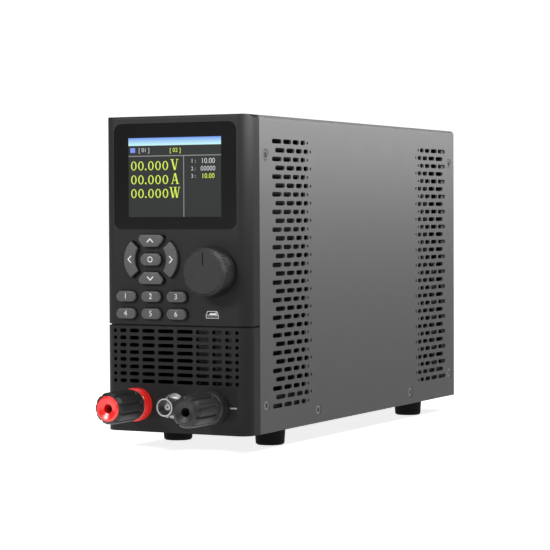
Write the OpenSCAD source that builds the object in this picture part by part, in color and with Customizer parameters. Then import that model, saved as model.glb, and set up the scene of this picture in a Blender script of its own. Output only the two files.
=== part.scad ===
// Bench dc electronic load: a tall, narrow instrument with a moulded two-piece front,
// a slotted steel cover, two binding posts, a coaxial sense socket and a fan at the back.
// The origin is on the floor under the middle of the overall box. The front faces -Y, +Z is up.
// Names ending in _z are heights above the case's underside, unless they are derived values.

/* [Case] */
// Width of the case and of the front moulding
body_w = 88; // [86:0.5:100]
// Height of the case without its feet
body_h = 168; // [166:0.5:190]
// Depth from the front face to the rear edge of the cover
body_d = 275.5; // [262:0.5:320]
// Sheet thickness of the cover
cover_t = 1; // [0.8:0.1:1.2]
// Sheet thickness of the chassis and the rear panel
sheet_t = 1.2; // [1:0.1:1.5]
// Outside radius of the two long bends of the cover
bend_r = 2.5; // [2:0.1:4]
// Gap between the cover and the sheets inside it
sheet_gap = 0.3; // [0.2:0.05:0.5]
// Width of the folded flanges that take the cover screws
flange_w = 15; // [14:0.5:18]
// Height of the chassis side flanges
chassis_side_h = 20; // [19:0.5:24]
// Distance from the rear edge of the cover in to the rear panel
rear_inset = 0.5; // [0.3:0.1:2]

/* [Feet] */
// Height of a rubber foot
foot_h = 9.6; // [6:0.1:14]
// Diameter of a foot where it meets the case
foot_top_d = 17; // [14:0.5:20]
// Diameter of a foot at the floor
foot_floor_d = 15.8; // [12:0.2:18]
// Distance of the middle of a foot from the side of the case
foot_side = 15; // [13:0.5:18]
// Distance of a foot from the front or rear edge of the cover
foot_inset = 39; // [34:0.5:44]
// Diameter of the plug that holds a foot in the chassis
foot_plug_d = 6; // [5:0.5:8]

/* [Front moulding] */
// Depth of the front moulding, from its face to the cover
bezel_d = 13; // [12.6:0.1:16]
// Radius of the two upright front corners
corner_r = 7; // [6:0.1:9]
// Wall of the front moulding
panel_t = 3; // [2.6:0.1:3.4]
// Radius along the top front edge
brow_r = 1.2; // [0.6:0.1:2]
// Height of the seam between the upper and the lower moulding
seam_z = 57.4; // [57.2:0.1:57.6]
// Width of the groove along the seam
seam_w = 0.9; // [0.5:0.1:1.2]
// Depth of the groove along the seam
seam_d = 1.2; // [0.8:0.1:1.6]
// Diameter of the screw bosses behind the moulding
boss_d = 4; // [3.8:0.1:4.2]

/* [Display] */
// Distance from the side of the moulding to the window
window_side = 6.8; // [6:0.1:8]
// Distance from the top of the moulding to the window
window_top = 3.9; // [3.4:0.1:5]
// Height of the lower edge of the window
window_low_z = 108.1; // [107.6:0.1:110]
// Corner radius of the window
window_r = 4.4; // [2:0.1:8]
// Thickness of the window
window_t = 1.8; // [1.2:0.1:2]
// Distance from the side of the window to the lit screen
screen_side = 8.95; // [8:0.05:12]
// Distance from the upper edge of the window to the lit screen
screen_top = 7.6; // [7:0.1:9]
// Distance from the lower edge of the window to the lit screen
screen_low = 6.4; // [6:0.1:8]
// Width of the screen module's rim beside the lit screen
lcd_rim_x = 6.35; // [4:0.05:6.4]
// Width of the screen module's rim above and below the lit screen
lcd_rim_z = 4; // [3:0.1:4]

/* [Keys] */
// How far the keys stand out of the panel
key_proud = 2.4; // [1.5:0.1:3]
// Travel of a key
key_travel = 0.8; // [0.4:0.1:0.9]
// Gap around a key in its opening
key_gap = 0.3; // [0.2:0.05:0.4]
// Width of the retaining lip around a key, behind the panel
key_lip = 0.9; // [0.6:0.1:1.1]
// Distance from the left side of the moulding to the middle of the direction pad
pad_inset = 30.2; // [29.7:0.1:30.7]
// Height of the middle of the direction pad
pad_z = 92; // [91.6:0.1:92.4]
// Distance from the middle of the pad to the inner edge of the up and down keys
pad_up_in = 6.65; // [6.4:0.05:7]
// Distance from the middle of the pad to the outer edge of the up and down keys
pad_up_out = 13.15; // [12.6:0.05:13.4]
// Width of the up and down keys at their inner edge
pad_up_w = 8.3; // [7:0.1:9]
// Distance from the middle of the pad to the outer edge of the side keys
pad_side_out = 16.4; // [16:0.1:16.8]
// Radius of the outer edge of the side keys
pad_side_r = 12.7; // [12:0.1:14]
// Radius of the inner edge of the side keys
pad_side_in = 9.8; // [9.6:0.1:10.4]
// Width of the key in the middle of the pad
ok_w = 12.8; // [11:0.2:13]
// Height of the key in the middle of the pad
ok_h = 6.7; // [6:0.1:7]
// Width of the six pill-shaped keys
pill_w = 12.2; // [11:0.1:12.6]
// Height of the six pill-shaped keys
pill_h = 5.9; // [5.2:0.1:6.2]
// Pitch of the columns of pill-shaped keys
pill_pitch_x = 15.55; // [15.4:0.05:15.8]
// Pitch of the rows of pill-shaped keys
pill_pitch_z = 9.15; // [9:0.05:9.3]
// Height of the upper row of pill-shaped keys
pill_z = 72.3; // [72:0.1:72.5]

/* [Dial] */
// Sideways place of the dial
dial_x = 23.4; // [22.6:0.1:24.2]
// Height of the middle of the dial
dial_z = 85.8; // [84:0.1:88]
// Diameter of the dial at the panel
dial_base_d = 26.8; // [24:0.2:28]
// Diameter of the dial at its face
dial_face_d = 24.4; // [22:0.2:26]
// How far the face of the dial stands out of the panel
dial_reach = 11.4; // [10.5:0.1:15]
// Diameter of the dial's shaft
shaft_d = 6; // [5:0.1:6.4]
// Radial clearance of a shaft that turns or slides in its bore
run_gap = 0.05; // [0.02:0.01:0.08]

/* [USB socket] */
// Sideways place of the USB socket
usb_x = 22.5; // [20:0.5:25]
// Height of the USB socket
usb_z = 63.2; // [62.8:0.1:63.6]
// Width of the USB socket's shell
usb_w = 7.7; // [7.5:0.1:8]
// Height of the USB socket's shell
usb_h = 3.9; // [3.7:0.1:4]
// Thickness of the USB socket's shell
usb_t = 0.35; // [0.3:0.05:0.45]

/* [Front vent] */
// Rows of slots in the lower moulding
vent_rows = 8; // [4:1:8]
// Columns of slots on each side of the middle
vent_cols = 5; // [3:1:5]
// Pitch of the rows
vent_pitch = 3.84; // [3.4:0.02:3.9]
// Height of the uppermost row
vent_z = 53.9; // [53.4:0.1:54.4]
// Height of a slot
vent_h = 2.1; // [1.6:0.1:2.4]
// Distance from the side of the moulding to the outermost slots
vent_side = 5.785; // [5.4:0.005:7]
// How much shorter each next column is
vent_step = 1.92; // [1.85:0.01:1.95]
// Gap between the columns
vent_gap = 1.87; // [1.6:0.01:2]

/* [Binding posts] */
// Distance from the side of the moulding to the middle of a post
post_side = 20.7; // [19.7:0.1:21.7]
// Height of the posts and the sense socket
post_z = 14.6; // [14.2:0.1:15]
// Diameter of the coloured flange
post_flange_d = 17.8; // [16:0.2:19]
// Length of the flange in front of the panel
post_flange_l = 6.5; // [5:0.1:8]
// Diameter of the loose washer
post_washer_d = 16.4; // [14:0.1:16.5]
// Thickness of the loose washer
post_washer_t = 0.8; // [0.5:0.1:1.2]
// Diameter of the fluted cap
post_cap_d = 17; // [16:0.1:18]
// Length of the fluted cap
post_cap_l = 22.9; // [21:0.1:28]
// Diameter of the coloured ring in the cap
post_ring_d = 13.5; // [12:0.1:14]
// How far the ring stands out of the cap
post_ring_proud = 0.8; // [0.2:0.1:1.5]
// Diameter of the threaded stud
stud_d = 6; // [5.6:0.1:6.4]
// Diameter of the plug socket in the stud
socket_d = 4.1; // [4:0.02:4.2]
// Depth of the plug socket
socket_l = 20; // [14:0.5:20]

/* [Sense socket] */
// Outside diameter of the coaxial socket
bnc_d = 9.6; // [9.5:0.05:9.7]
// How far the coaxial socket stands out of the panel
bnc_reach = 11.6; // [10:0.2:14]
// Diameter of its base collar
bnc_collar_d = 13.6; // [12:0.2:15]
// Diameter of its insulator
bnc_core_d = 3.5; // [3:0.1:4]

/* [Cover vents and screws] */
// Rows of slots in each side of the cover
slot_rows = 31; // [15:1:31]
// Plain height below the lowest row and above the uppermost row
slot_margin = 11.15; // [9:0.05:16]
// Height of a slot
slot_h = 2.5; // [2:0.1:2.8]
// Length of the longest slot, next to the edge of the cover
slot_long = 11.2; // [10:0.1:12]
// How much shorter each next slot is
slot_step = 1.85; // [1.5:0.05:2]
// Slots in a row, besides the round hole at its end
slot_cols = 4; // [3:1:4]
// Gap between the slots of a row
slot_gap = 1.75; // [1.5:0.05:2]
// How far every other row is shifted towards the middle
slot_shift = 3.65; // [2:0.05:5]
// Distance from the edge of the cover to the first slot
slot_inset = 14.2; // [13.8:0.1:18]
// Distance of the end screws from the edge of the cover
screw_inset = 7.4; // [6.8:0.1:7.8]
// Distance of the upper end screws below the top of the case
screw_drop = 21; // [18:0.5:26]
// Height of the lower end screws
screw_low_z = 14.6; // [13:0.1:15]
// Height of the two screws along the bottom edge
screw_edge_z = 7.2; // [6.5:0.1:9]
// Distance of the bottom screws from the edge of the cover
screw_edge_inset = 68.6; // [60:0.2:76]
// Head diameter of a cover screw
screw_head_d = 5.5; // [5:0.1:6]
// Thread diameter of a cover screw
screw_d = 3; // [2.5:0.1:3.2]

/* [Rear] */
// Gap between the square fan and the sheet beside it
fan_clear = 1.5; // [1:0.1:3]
// Depth of the fan
fan_d = 25; // [25:0.5:26]
// Height of the underside of the fan
fan_lift = 7; // [5:0.5:10]
// Sideways place of the mains inlet
inlet_x = 18; // [17:0.5:20]
// Distance of the middle of the mains inlet below the top of the case
inlet_drop = 40; // [36:0.5:46]
// Sideways place of the power switch
rocker_x = -20; // [-22:0.5:-18]
// Turn of the power switch between off and on
rocker_turn = 16; // [10:1:18]

/* [Inside] */
// Height of the spacers under the main board
spacer_h = 4; // [3:0.5:4]
// Thickness of the circuit boards
board_t = 1.6; // [1.2:0.1:1.8]
// Distance from the front edge of the main board to the heat sink
sink_start = 88.8; // [86:0.2:100]
// Height of the heat sink above the main board
sink_h = 78; // [70:1:80]
// Distance from the side of the main board to the heat sink
sink_edge = 2.3; // [2:0.1:5]
// Sheet thickness of the insulating shield
shield_t = 0.8; // [0.5:0.1:1]
// Distance from the side of the main board to the insulating shield
shield_edge = 0.6; // [0.4:0.1:0.9]
// Number of fins
fins = 12; // [8:1:13]
// Thickness of a fin
fin_t = 1.8; // [1.4:0.1:2.2]

/* [Hidden] */
$fn = 48;
eps = 0.01;

// Overall places
guard_eye_t = 1.6;
fan_head_h = 2.4;
post_reach = post_flange_l + post_washer_t + post_cap_l + post_ring_proud;
rear_reach = guard_eye_t + fan_head_h - rear_inset;
front_y = post_reach - (post_reach + body_d + rear_reach) / 2;
case_y = front_y + bezel_d;
rear_y = front_y + body_d;
base_z = foot_h;
top_z = base_z + body_h;
in_hw = body_w / 2 - cover_t - sheet_gap;
in_top = top_z - cover_t - sheet_gap;
foot_x = body_w / 2 - foot_side;
pad_x = pad_inset - body_w / 2;
post_x = body_w / 2 - post_side;
panel_back = front_y + panel_t;
wall_y = rear_y - rear_inset;
wall_in = wall_y - sheet_t;

// Window, lit screen and front vent
window_w = body_w - 2 * window_side;
window_h = body_h - window_top - window_low_z;
window_z = window_low_z + window_h / 2;
screen_w = window_w - 2 * screen_side;
screen_h = window_h - screen_top - screen_low;
screen_z = window_low_z + screen_low + screen_h / 2;
lcd_w = screen_w + 2 * lcd_rim_x;
lcd_h = screen_h + 2 * lcd_rim_z;
vent_loss = vent_step * vent_cols * (vent_cols - 1) / 2;
vent_long = (body_w / 2 - vent_side - (vent_cols - 0.5) * vent_gap + vent_loss) / vent_cols;

// Control board stack behind the front moulding
key_flange_t = 1;
switch_w = 6;
switch_h = 2.5;
switch_y = panel_back + key_flange_t + key_travel + 0.4;
board_y = switch_y + switch_h;
stem_d = 3.2;
bush_d = 7;
shaft_in = 2;
encoder_w = 12;
board_hw = body_w / 2 - panel_t - 1.4;
board_low_z = 61.8;
board_top_z = body_h - 7.4;
board_boss_x = board_hw - 2.2;
board_boss_zs = [67.7, 106.4, board_top_z - 2];
boss_screw_d = 2.5;
boss_screw_l = 5.2;
boss_head_d = 4.6;
boss_head_h = 1.6;
panel_boss_x = body_w / 2 - 5.4;
upper_bosses = [[25, body_h - panel_t - boss_d / 2 - 0.1], [panel_boss_x, seam_z + boss_d / 2]];
lower_bosses = [[panel_boss_x, 21.4], [panel_boss_x, panel_t + boss_d / 2 - 0.2]];

// Keys: name, sideways place and height of the middle of their outline
pill_keys = [for (row = [0, 1], col = [-1, 0, 1])
    [pad_x + 0.1 + col * pill_pitch_x, pill_z - row * pill_pitch_z]];
pad_up_mid = (pad_up_in + pad_up_out) / 2;
pad_side_mid = (pad_side_in + pad_side_out) / 2 - 0.6;
pad_cut = 40;
stems = concat(
    [[pad_x, pad_z], [pad_x, pad_z + pad_up_mid], [pad_x, pad_z - pad_up_mid],
     [pad_x - pad_side_mid, pad_z], [pad_x + pad_side_mid, pad_z]],
    pill_keys);

// Posts and sense socket
stud_back = 12;
nut_t = 4;
stud_nut_w = 10;
bnc_nut_t = 3;
bnc_nut_w = 14;
post_shank_d = 10;
bnc_back = panel_back + 5;
bnc_core_in = 3.2;
bnc_pin_d = bnc_core_d / 2;
ring_seat = 6;
thread_gap = 0.25;
fit_gap = 0.02;
bar_t = 2;
bar_w = 11;
stud_front = post_flange_l + post_washer_t + post_cap_l - ring_seat - 1;

// Chassis, main board and fan
fan_w = 2 * (in_hw - sheet_t - fan_clear);
// Windows of the upright: half width, lower edge, upper edge
upright_windows = [[31, 63, body_h - 12], [35, 25, 55], [33, 3.5, 20]];
main_board_z = base_z + sheet_t + spacer_h;
main_top = main_board_z + board_t;
fan_y = wall_in - fan_d;
fan_mid_z = base_z + fan_lift + fan_w / 2;
fan_bore = fan_w / 2 - 1.6;
fan_hole = fan_w / 2 - 4.25;
fan_hole_d = 4.4;
fan_shaft_d = 3;
board_front = case_y + 26;
board_back = fan_y - 2;
main_board_hw = in_hw - sheet_t - 3.2;
sink_back = fan_y - 6;
sink_front = board_front + sink_start;
sink_l = sink_back - sink_front;
sink_w = 2 * (main_board_hw - sink_edge);
transistor = [20, 16, 5];
transistor_end = 5.5;
transistor_leg_t = 1.2;
transistor_leg_pitch = 5.45;
transistor_leg_reach = 4;
core = [36, 18, 42];
coil = [18, 36, 28];
core_y = board_front + 54;
can_d = 16;
can_h = 30;
can_x = main_board_hw - can_d / 2 - 2.3;
can_ys = [board_front + 40, board_front + 64];
ribbon_t = 1.2;
ribbon_bend = 6;
ribbon_hw = 12.5;
ribbon_z = base_z + 84;
ribbon_back = board_front + 8;
bar_end = board_front + 30;
sink_leg_h = 11;
sink_floor_t = 6;
spacer_foot_d = 4.2;
spacer_inset = 22;
clinch_d = 3;
clinch_h = 3;

// Cover screws: distance from the front edge of the cover, height
case_l = body_d - bezel_d;
screw_top_z = body_h - screw_drop;
slot_pitch = (body_h - 2 * slot_margin) / slot_rows;
side_screws = [
    [screw_inset, screw_top_z], [case_l - screw_inset, screw_top_z],
    [screw_inset, screw_low_z], [case_l - screw_inset, screw_low_z],
    [screw_edge_inset, screw_edge_z], [case_l - screw_edge_inset, screw_edge_z]];
screw_sink = 0.35;
screw_l = 3.2;

// Mains inlet with its fuse drawer, and the power switch beside it
inlet_z = body_h - inlet_drop;
inlet_w = 27;
inlet_h = 35;
inlet_deep = 24;
inlet_lip = 2;
socket_w = 24.4;
socket_h = 16.8;
socket_deep = 18;
socket_drop = 6.8;
drawer_w = 21;
drawer_h = 8;
drawer_deep = 17;
drawer_lift = 10.8;
switch_body_w = 13;
switch_body_h = 19.4;
pin_places = [[-7, -2], [7, -2], [0, 2]];
pin_size = [2, 4];
rocker_y = wall_y - 1;
rocker_hw = 4.9;
rocker_hh = 6.6;
rocker_pin_d = 2.4;
switch_deep = 15;
switch_lip = 1.8;

// Colours as seen on the object
moulding = [0.17, 0.17, 0.18];
key_grey = [0.36, 0.37, 0.38];
steel_grey = [0.45, 0.45, 0.46];
zinc = [0.72, 0.73, 0.74];
nickel = [0.8, 0.8, 0.8];
brass = [0.8, 0.66, 0.32];
red = [0.86, 0.12, 0.1];
black = [0.07, 0.07, 0.08];
green = [0.08, 0.32, 0.18];

// A plate from a front view, between two depths
module plate_y(y0, y1) {
    translate([0, y1, 0]) rotate([90, 0, 0]) linear_extrude(y1 - y0) children();
}

// A plate from a side view (depth, height), between two sideways places
module plate_x(x0, x1) {
    translate([x0, 0, 0]) rotate([90, 0, 90]) linear_extrude(x1 - x0) children();
}

// A plate from a plan view, between two heights
module plate_z(z0, z1) {
    translate([0, 0, z0]) linear_extrude(z1 - z0) children();
}

// A round bar along the depth
module rod_y(x, z, y0, y1, d) {
    translate([x, y1, z]) rotate([90, 0, 0]) cylinder(d = d, h = y1 - y0);
}

// A turned piece: the profile's x is the radius, its y runs towards the front
module turned(x, y, z) {
    translate([x, y, z]) rotate([90, 0, 0]) rotate_extrude() children();
}

module both_sides() {
    children();
    mirror([1, 0, 0]) children();
}

// A rectangle from corner to corner
module span(x0, x1, y0, y1) {
    translate([x0, y0]) square([x1 - x0, y1 - y0]);
}

module rounded_box(w, h, r) {
    square([w - 2 * r, h], center = true);
    square([w, h - 2 * r], center = true);
    for (sx = [-1, 1], sy = [-1, 1]) translate([sx * (w / 2 - r), sy * (h / 2 - r)]) circle(r);
}

// A slot with round ends, centred, or a round hole where it is no longer than high
module pill(w, h) {
    if (w > h) {
        square([w - h, h], center = true);
        for (s = [-1, 1]) translate([s * (w - h) / 2, 0]) circle(d = h);
    } else {
        circle(d = w);
    }
}

module hexagon(flats) {
    circle(d = flats / cos(30), $fn = 6);
}

// Plan outline of the front moulding, drawn in by inset
module bezel_plan(inset, back = 0) {
    hw = body_w / 2 - inset;
    r = corner_r - inset;
    span(-hw, hw, front_y + corner_r, case_y + back);
    span(r - hw, hw - r, front_y + inset, case_y + back);
    intersection() {
        for (s = [-1, 1]) translate([s * (hw - r), front_y + corner_r]) circle(r);
        span(-hw, hw, front_y + inset, front_y + corner_r + eps);
    }
}

// Front outline of the case, with the cover's bends at its upper corners
module case_outline(inset) {
    hw = body_w / 2 - inset;
    r = bend_r - inset;
    span(-hw, hw, base_z, top_z - bend_r);
    span(r - hw, hw - r, base_z, top_z - inset);
    for (s = [-1, 1]) translate([s * (hw - r), top_z - bend_r]) circle(r);
}

// Side outline of the front moulding, rounded along its top front edge
module brow_outline() {
    span(front_y, case_y, base_z, top_z - brow_r);
    span(front_y + brow_r, case_y, base_z, top_z);
    translate([front_y + brow_r, top_z - brow_r]) circle(brow_r);
}

module usb_outline(inset) {
    hw = usb_w / 2 - inset;
    hh = usb_h / 2 - inset;
    slope = usb_w / 8;
    polygon([[-hw, -hh], [hw, -hh], [hw, 0], [hw - slope, hh], [slope - hw, hh], [-hw, 0]]);
}

// Outlines of the keys about the middle of the pad, or of the pill
module up_outline() {
    intersection() {
        reach = pad_up_out - pad_up_in;
        polygon([[-pad_up_w / 2, pad_up_in], [pad_up_w / 2, pad_up_in],
                 [pad_up_w / 2 + reach, pad_up_out], [-pad_up_w / 2 - reach, pad_up_out]]);
        translate([0, pad_up_out - 4 * pad_side_r]) circle(4 * pad_side_r, $fn = 192);
    }
}

module side_outline() {
    lift = 0.3;
    far = 2 * pad_side_out;
    difference() {
        intersection() {
            translate([pad_side_out - pad_side_r, 0]) circle(pad_side_r, $fn = 96);
            polygon([[0, lift], [0, -lift],
                     [far, -lift - far * tan(pad_cut)], [far, lift + far * tan(pad_cut)]]);
        }
        circle(pad_side_in, $fn = 96);
    }
}

module rounded(r, grow) {
    offset(r = r + grow, $fn = 32) offset(delta = -r) children();
}

module key_outline(kind, grow) {
    corner = 1.4;
    tip = 0.8;
    if (kind == "ok") pill(ok_w + 2 * grow, ok_h + 2 * grow);
    if (kind == "pill") pill(pill_w + 2 * grow, pill_h + 2 * grow);
    if (kind == "up") rounded(corner, grow) up_outline();
    if (kind == "down") mirror([0, 1]) rounded(corner, grow) up_outline();
    if (kind == "right") rounded(tip, grow) side_outline();
    if (kind == "left") mirror([1, 0]) rounded(tip, grow) side_outline();
}

// A key: its cap with an eased edge, the lip behind the panel and the stem into its switch
module key(kind, x, z, stem) {
    ease = 0.5;
    color(key_grey) {
        translate([x, 0, base_z + z]) {
            plate_y(front_y - key_proud + ease, panel_back) key_outline(kind, 0);
            plate_y(front_y - key_proud, front_y - key_proud + ease) key_outline(kind, -ease / 2);
            plate_y(panel_back, panel_back + key_flange_t) key_outline(kind, key_lip);
        }
        rod_y(stem[0], base_z + stem[1], panel_back + key_flange_t - eps, switch_y + 1, stem_d);
    }
}

// Openings for the keys
module key_openings() {
    for (kind = ["ok", "up", "down", "left", "right"])
        translate([pad_x, base_z + pad_z]) key_outline(kind, key_gap);
    for (p = pill_keys) translate([p[0], base_z + p[1]]) key_outline("pill", key_gap);
}

// A screw boss behind the front moulding, with its pilot hole
module boss(x, z, y1) {
    difference() {
        rod_y(x, base_z + z, panel_back - eps, y1, boss_d);
        rod_y(x, base_z + z, panel_back + 1, y1 + 1, boss_screw_d + 2 * run_gap);
    }
}

module front_panel_upper() {
    color(moulding) {
        difference() {
            intersection() {
                plate_z(base_z + seam_z, top_z) bezel_plan(0);
                plate_y(front_y - 1, case_y + 1) case_outline(0);
                plate_x(-body_w, body_w) brow_outline();
            }
            plate_z(base_z + seam_z - 1, top_z - panel_t) bezel_plan(panel_t, 1);
            plate_y(front_y - 1, front_y + window_t) translate([0, base_z + window_z])
                rounded_box(window_w + 0.2, window_h + 0.2, window_r + 0.1);
            plate_y(front_y - 1, panel_back + 1) {
                translate([0, base_z + screen_z]) square([screen_w + 3, screen_h + 3], center = true);
                key_openings();
                translate([dial_x, base_z + dial_z]) circle(d = bush_d + 0.6);
                translate([usb_x, base_z + usb_z]) usb_outline(-0.25);
            }
        }
        both_sides() {
            for (z = board_boss_zs) boss(board_boss_x, z, board_y);
            for (p = upper_bosses) boss(p[0], p[1], case_y);
        }
    }
}

// Slots of the front vent, right half
module front_vent() {
    for (row = [0 : vent_rows - 1], col = [0 : vent_cols - 1]) {
        w = vent_long - col * vent_step;
        x = vent_gap / 2 + col * (vent_long + vent_gap) - vent_step * col * (col - 1) / 2 + w / 2;
        translate([x, base_z + vent_z - row * vent_pitch]) pill(w, vent_h);
    }
}

module front_panel_lower() {
    lip_z = base_z + seam_z - seam_w;
    color(moulding) {
        difference() {
            union() {
                plate_z(base_z, lip_z) bezel_plan(0);
                plate_z(lip_z - eps, base_z + seam_z) bezel_plan(seam_d);
            }
            plate_z(base_z + panel_t, base_z + seam_z + 1) bezel_plan(panel_t, 1);
            plate_y(front_y - 1, panel_back + 1) {
                front_vent();
                mirror([1, 0]) front_vent();
                for (s = [-1, 1]) translate([s * post_x, base_z + post_z])
                    circle(d = post_shank_d + 2 * run_gap);
                translate([0, base_z + post_z]) circle(d = bnc_d + 2 * run_gap);
            }
        }
        both_sides() for (p = lower_bosses) boss(p[0], p[1], case_y);
    }
}

module display_window() {
    flush = 0.15;
    color(black) plate_y(front_y + flush, front_y + window_t) translate([0, base_z + window_z])
        rounded_box(window_w, window_h, window_r);
}

module lcd_module() {
    color([0.2, 0.2, 0.22]) plate_y(panel_back, board_y) translate([0, base_z + screen_z])
        square([lcd_w, lcd_h], center = true);
}

module control_board() {
    color(green) plate_y(board_y, board_y + board_t) difference() {
        span(-board_hw, board_hw, base_z + board_low_z, base_z + board_top_z);
        for (s = [-1, 1], z = board_boss_zs) translate([s * board_boss_x, base_z + z])
            circle(d = boss_screw_d + 2 * run_gap);
    }
}

module tact_switches() {
    color(black) for (p = stems) translate([p[0], 0, base_z + p[1]])
        plate_y(switch_y, board_y) difference() {
            square(switch_w, center = true);
            circle(d = stem_d + 0.6);
        }
}

module key_up() key("up", pad_x, pad_z, stems[1]);
module key_down() key("down", pad_x, pad_z, stems[2]);
module key_left() key("left", pad_x, pad_z, stems[3]);
module key_right() key("right", pad_x, pad_z, stems[4]);
module key_ok() key("ok", pad_x, pad_z, stems[0]);
module pill_key(i) key("pill", pill_keys[i][0], pill_keys[i][1], pill_keys[i]);

// The dial: a tapered cap with a bevelled face, hollow behind, and a groove for its pointer
module dial() {
    gap = 0.6;
    bevel = 1.2;
    face = dial_face_d / 2;
    base = dial_base_d / 2;
    wall = 2.4;
    hub = shaft_d / 2 + 3;
    roof = dial_reach - 3;
    groove_w = 0.8;
    groove_d = 0.4;
    color(moulding) difference() {
        turned(dial_x, front_y, base_z + dial_z)
            polygon([[0, gap + 3], [hub, gap + 3], [hub, roof], [face - wall, roof],
                     [base - wall, gap], [base, gap], [base, gap + 1],
                     [face, dial_reach - bevel / 2], [face - bevel, dial_reach], [0, dial_reach]]);
        rod_y(dial_x, base_z + dial_z, front_y - dial_reach + shaft_in, front_y, shaft_d + 2 * fit_gap);
        plate_y(front_y - dial_reach - 1, front_y - dial_reach + groove_d)
            translate([dial_x - groove_w / 2, base_z + dial_z + face / 4]) square([groove_w, face / 2]);
    }
}

module encoder_shaft() {
    color(zinc) rod_y(dial_x, base_z + dial_z, front_y - dial_reach + shaft_in, board_y - 1, shaft_d);
}

module encoder_body() {
    color(zinc) difference() {
        union() {
            translate([dial_x, 0, base_z + dial_z])
                plate_y(panel_back, board_y) square(encoder_w, center = true);
            rod_y(dial_x, base_z + dial_z, front_y + 0.2, panel_back + eps, bush_d);
        }
        rod_y(dial_x, base_z + dial_z, front_y - 1, board_y - 1, shaft_d + 2 * run_gap);
    }
}

module usb_shell() {
    color(nickel) translate([usb_x, 0, base_z + usb_z]) difference() {
        plate_y(front_y + 0.1, board_y) usb_outline(0);
        plate_y(front_y - 1, board_y - 1) usb_outline(usb_t);
    }
}

module usb_tongue() {
    color(black) translate([usb_x, 0, base_z + usb_z])
        plate_y(front_y + 1, board_y - 1) translate([0, usb_h / 12])
            square([usb_w * 0.55, usb_h / 4], center = true);
}

// The stud: threaded along its length, with the plug socket bored in its front end
module post_stud(x) {
    color(nickel) difference() {
        rod_y(x, base_z + post_z, front_y - stud_front, panel_back + stud_back, stud_d);
        rod_y(x, base_z + post_z, front_y - stud_front - 1, front_y - stud_front + socket_l, socket_d);
    }
}

module post_flange(x, tint) {
    r = post_flange_d / 2;
    bore = stud_d / 2 + run_gap;
    shank = post_shank_d / 2;
    step = 0.4;
    step_z = post_flange_l * 0.6;
    ease = 0.6;
    color(tint) turned(x, front_y, base_z + post_z)
        polygon([[bore, -panel_t], [shank, -panel_t], [shank, 0], [r, 0], [r, step_z],
                 [r - step, step_z], [r - step, post_flange_l - ease],
                 [r - step - ease, post_flange_l], [bore, post_flange_l]]);
}

module post_washer(x) {
    color(zinc) translate([x, front_y - post_flange_l, base_z + post_z]) rotate([90, 0, 0])
        difference() {
            cylinder(d = post_washer_d, h = post_washer_t);
            translate([0, 0, -1]) cylinder(d = stud_d + 2 * run_gap, h = post_washer_t + 2);
        }
}

// The cap: fluted, bevelled at the front, bored for the stud and recessed for the ring
module post_cap(x) {
    r = post_cap_d / 2;
    flutes = 10;
    flute_r = 1.1;
    heel = 1.2;
    bevel = 1.2;
    bevel_l = 1.6;
    color(black) translate([x, front_y - post_flange_l - post_washer_t, base_z + post_z])
        rotate([90, 0, 0]) difference() {
            rotate_extrude() polygon([[0, 0], [r - heel, 0], [r, heel], [r, post_cap_l - bevel_l],
                                      [r - bevel, post_cap_l], [0, post_cap_l]]);
            translate([0, 0, -1]) cylinder(d = stud_d + 2 * thread_gap, h = post_cap_l);
            translate([0, 0, post_cap_l - ring_seat])
                cylinder(d = post_ring_d + 2 * fit_gap, h = ring_seat + 1);
            for (i = [0 : flutes - 1]) rotate((i + 0.5) * 360 / flutes)
                translate([r + flute_r / 2, 0, 2]) cylinder(r = flute_r, h = post_cap_l);
        }
}

// The coloured ring in the cap, with a funnel that leads a plug to the socket
module post_ring(x, tint) {
    r = post_ring_d / 2;
    long = ring_seat + post_ring_proud;
    hole = socket_d / 2 + 0.4;
    ease = 0.8;
    funnel = 2.9;
    funnel_l = 1.2;
    color(tint) turned(x, front_y - post_reach + long, base_z + post_z)
        polygon([[hole, 0], [r, 0], [r, long - ease], [r - ease, long], [hole + funnel, long],
                 [hole, long - funnel_l]]);
}

module red_post_stud() post_stud(-post_x);
module red_post_flange() post_flange(-post_x, red);
module red_post_washer() post_washer(-post_x);
module red_post_cap() post_cap(-post_x);
module red_post_ring() post_ring(-post_x, red);
module black_post_stud() post_stud(post_x);
module black_post_flange() post_flange(post_x, black);
module black_post_washer() post_washer(post_x);
module black_post_cap() post_cap(post_x);
module black_post_ring() post_ring(post_x, black);

// Two nuts on each stud, either side of its busbar, and the nut of the sense socket
module panel_nuts() {
    color(zinc) translate([0, 0, base_z + post_z]) {
        for (s = [-1, 1], y = [panel_back, panel_back + nut_t + bar_t])
            translate([s * post_x, 0, 0]) plate_y(y, y + nut_t) difference() {
                hexagon(stud_nut_w);
                circle(d = stud_d + 2 * run_gap);
            }
        plate_y(panel_back, panel_back + bnc_nut_t) difference() {
            hexagon(bnc_nut_w);
            circle(d = bnc_d + 2 * run_gap);
        }
    }
}

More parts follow.
